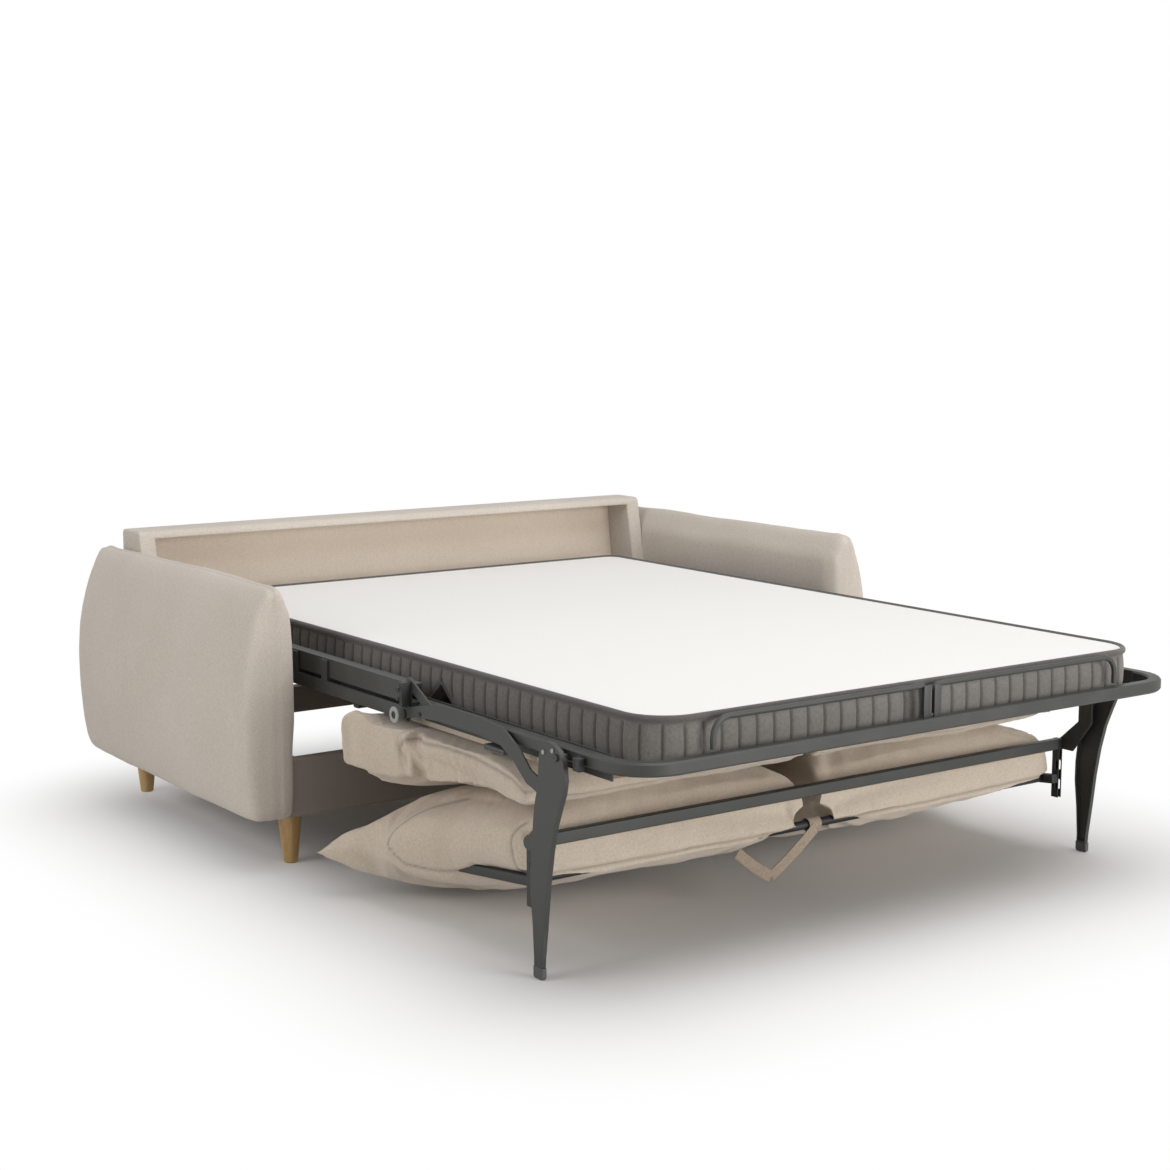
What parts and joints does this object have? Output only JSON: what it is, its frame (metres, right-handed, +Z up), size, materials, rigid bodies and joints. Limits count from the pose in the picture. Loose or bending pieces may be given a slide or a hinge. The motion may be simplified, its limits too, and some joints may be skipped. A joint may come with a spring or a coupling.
{
  "type": "sleeper sofa with pull-out bed",
  "caption": "Upholstered sofa with its folding bed open: mattress on a steel frame, legs swung down, seat and back cushions carried underneath.",
  "frame": {"origin": "middle of the footprint on the floor, with the bed open", "axes": "+X to the right seen from the foot of the bed, +Y towards the sofa's back, +Z up"},
  "size_m": [1.9592, 2.2374, 0.713],
  "materials": {
    "body_fabric": "matte beige woven upholstery",
    "cushion_fabric": "matte beige woven upholstery, sewn seams",
    "strap_webbing": "woven band",
    "mattress_ticking": "off-white knitted top, grey quilted border",
    "dark_lining": "dark lining over board",
    "pale_oak": "satin oak",
    "slat_wood": "bent beech slats",
    "board_wood": "raw board",
    "painted_steel": "anthracite powder coat",
    "black_steel": "black powder coat",
    "black_plastic": "moulded"
  },
  "bodies": {
    "sofa_body": {"arm_left": "body_fabric", "arm_right": "body_fabric", "front_fascia": "dark_lining", "rear_rail": "dark_lining", "back_frame": "body_fabric", "recess_panel": "body_fabric", "base_side_board_left": "board_wood", "base_side_board_right": "board_wood", "wooden_leg_front_left": "pale_oak", "wooden_leg_front_right": "pale_oak", "wooden_leg_rear_left": "pale_oak", "wooden_leg_rear_right": "pale_oak", "base_pivot_plate_left": "painted_steel", "base_pivot_plate_right": "painted_steel"},
    "rear_swing": {"rear_swing_link_left": "painted_steel", "rear_swing_link_right": "painted_steel"},
    "front_swing": {"front_swing_link_left": "painted_steel", "front_swing_link_right": "painted_steel"},
    "middle_section": {"middle_rail_left": "painted_steel", "middle_rail_right": "painted_steel", "lower_bar_left": "painted_steel", "lower_bar_right": "painted_steel", "middle_deck": "slat_wood", "middle_cross_tube_front": "painted_steel", "middle_cross_tube_rear": "painted_steel", "mattress_middle": "mattress_ticking"},
    "head_section": {"head_rail_left": "painted_steel", "head_rail_right": "painted_steel", "head_deck": "slat_wood", "mattress_head": "mattress_ticking"},
    "foot_section": {"foot_frame": "painted_steel", "foot_deck": "slat_wood", "seat_board": "board_wood", "mattress_foot": "mattress_ticking", "mattress_hoop_left": "painted_steel", "mattress_hoop_right": "painted_steel", "back_hanger_left": "painted_steel", "back_hanger_right": "painted_steel", "seat_cushion_left": "cushion_fabric", "seat_cushion_right": "cushion_fabric"},
    "leg_pair": {"front_leg_left": "painted_steel", "front_leg_right": "painted_steel", "leg_foot_cap_left": "black_plastic", "leg_foot_cap_right": "black_plastic"},
    "leg_links": {"leg_link_left": "painted_steel", "leg_link_right": "painted_steel"},
    "backrest": {"backrest_pivot_tube": "painted_steel", "backrest_frame": "black_steel", "backrest_lower_tube": "black_steel", "pull_strap": "strap_webbing", "slotted_bracket_left": "black_steel", "slotted_bracket_right": "black_steel", "back_cushion_left": "cushion_fabric", "back_cushion_right": "cushion_fabric"}
  },
  "joints": [
    {"name": "bed_swing", "type": "hinge", "parent": "sofa_body", "child": "rear_swing", "pos_m": [0, 0.61491, 0.1666], "axis": [-1, 0, 0], "range_deg": [0, 126]},
    {"name": "front_link_swing", "type": "hinge", "parent": "sofa_body", "child": "front_swing", "pos_m": [0, 0.49491, 0.2116], "axis": [-1, 0, 0], "range_deg": [0, 126]},
    {"name": "middle_level", "type": "hinge", "parent": "rear_swing", "child": "middle_section", "pos_m": [0, 0.43875, 0.439], "axis": [1, 0, 0], "range_deg": [0, 126]},
    {"name": "head_fold", "type": "hinge", "parent": "middle_section", "child": "head_section", "pos_m": [0, 0.48075, 0.474], "axis": [1, 0, 0], "range_deg": [0, 90], "deforming": ["mattress_head"]},
    {"name": "foot_fold", "type": "hinge", "parent": "middle_section", "child": "foot_section", "pos_m": [0, -0.31625, 0.51], "axis": [-1, 0, 0], "range_deg": [0, 180], "deforming": ["mattress_foot", "mattress_middle"]},
    {"name": "leg_fold", "type": "hinge", "parent": "foot_section", "child": "leg_pair", "pos_m": [0, -0.90125, 0.457], "axis": [1, 0, 0], "range_deg": [0, 90]},
    {"name": "leg_link_turn", "type": "hinge", "parent": "middle_section", "child": "leg_links", "pos_m": [0, -0.30125, 0.44], "axis": [-1, 0, 0], "range_deg": [0, 178.2]},
    {"name": "backrest_fold", "type": "hinge", "parent": "foot_section", "child": "backrest", "pos_m": [0, -0.77125, 0.258], "axis": [-1, 0, 0], "range_deg": [0, 93]}
  ],
  "couplings": [
    {"joint": "front_link_swing", "follows": "bed_swing", "ratio": 1},
    {"joint": "middle_level", "follows": "bed_swing", "ratio": 1},
    {"joint": "head_fold", "follows": "bed_swing", "ratio": 0.71428},
    {"joint": "foot_fold", "follows": "bed_swing", "ratio": 1.4286},
    {"joint": "leg_fold", "follows": "bed_swing", "ratio": 0.71428},
    {"joint": "leg_link_turn", "follows": "bed_swing", "ratio": 1.4143},
    {"joint": "backrest_fold", "follows": "bed_swing", "ratio": 0.73809}
  ]
}
